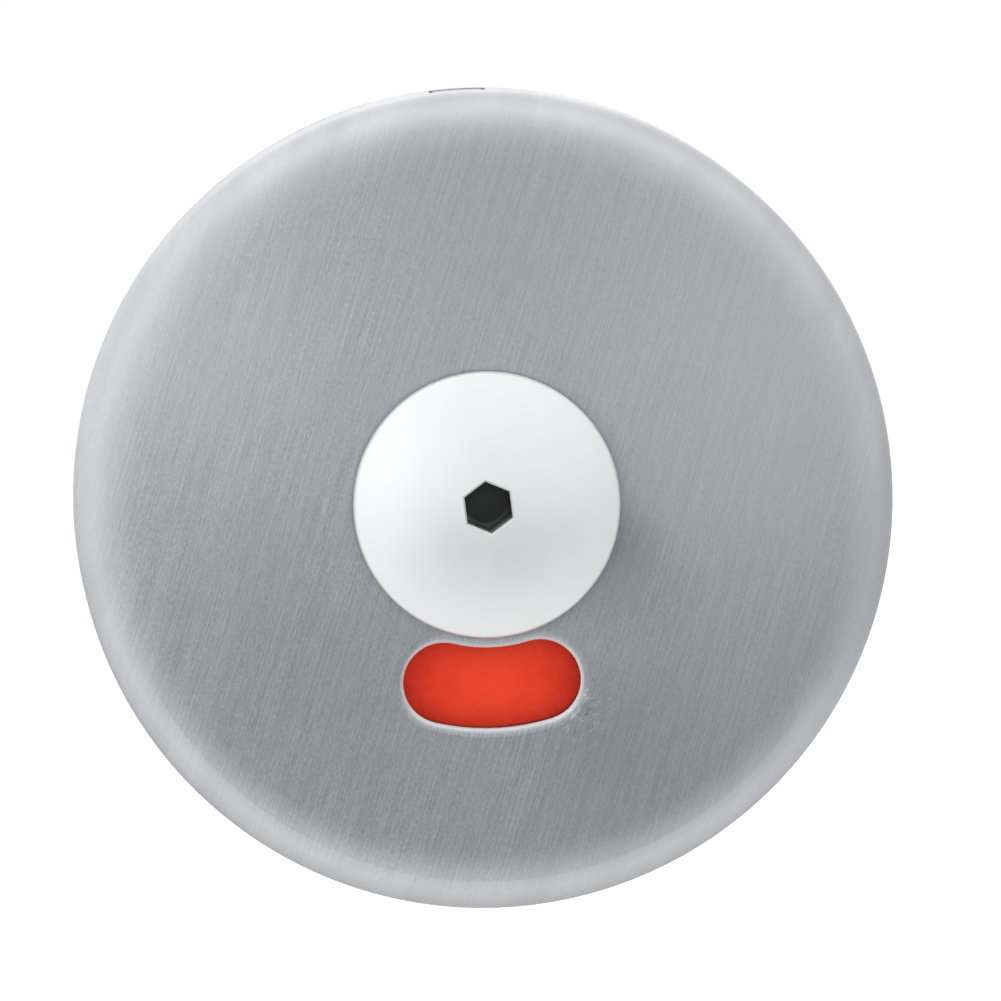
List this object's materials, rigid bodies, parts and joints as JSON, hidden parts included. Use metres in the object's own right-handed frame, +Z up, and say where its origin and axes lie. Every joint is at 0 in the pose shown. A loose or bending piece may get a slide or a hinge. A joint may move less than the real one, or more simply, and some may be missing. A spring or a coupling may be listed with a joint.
{
  "type": "toilet indicator bolt",
  "caption": "Round brushed indicator rose with a domed hexagon release knob and colour window, linked through the door to an inside thumb turn and rack-driven bolt.",
  "frame": {"origin": "on the spindle's axis, in the outer face of the door, where the outside base lies on it", "axes": "+Y along the spindle from outside to inside, +X the way the bolt is thrown, +Z up; the outside face looks to -Y"},
  "size_m": [0.072, 0.0629, 0.072],
  "materials": {
    "brushed_stainless": "straight brushed stainless steel",
    "satin_stainless": "satin stainless steel",
    "polished_stainless": "mirror polished stainless steel",
    "plain_steel": "bright zinc plated steel",
    "spring_steel": "plain spring steel",
    "black_steel": "black oxide steel",
    "cast_alloy": "die-cast, matt",
    "nylon": "natural nylon",
    "red_plastic": "satin red",
    "green_plastic": "satin green"
  },
  "bodies": {
    "housing": {"outside_cover": "brushed_stainless", "outside_base": "cast_alloy", "threaded_posts": "plain_steel", "stop_pin": "plain_steel", "stem_bush": "nylon", "knob_washer": "nylon", "bolt_case": "satin_stainless", "back_plate": "plain_steel", "plate_screws": "plain_steel", "fixing_screws": "plain_steel", "turn_bush": "nylon", "spring_leaf": "spring_steel"},
    "turn_set": {"release_knob": "polished_stainless", "release_stem": "black_steel", "stem_clip": "spring_steel", "spring_washer": "spring_steel", "indicator_disc": "nylon", "red_field": "red_plastic", "green_field": "green_plastic", "spindle": "plain_steel", "pinion": "plain_steel", "thumb_turn": "satin_stainless", "turn_clip": "spring_steel", "grub_screw": "black_steel"},
    "bolt": {"bolt": "satin_stainless"}
  },
  "joints": [
    {"name": "turn", "type": "hinge", "parent": "housing", "child": "turn_set", "pos_m": [0, 0, 0], "axis": [0, -1, 0], "range_deg": [0, 90]},
    {"name": "bolt_slide", "type": "slide", "parent": "housing", "child": "bolt", "axis": [-1, 0, 0], "range_m": [0, 0.01005]}
  ],
  "couplings": [
    {"joint": "bolt_slide", "follows": "turn", "m_per_rad": 0.0064}
  ]
}
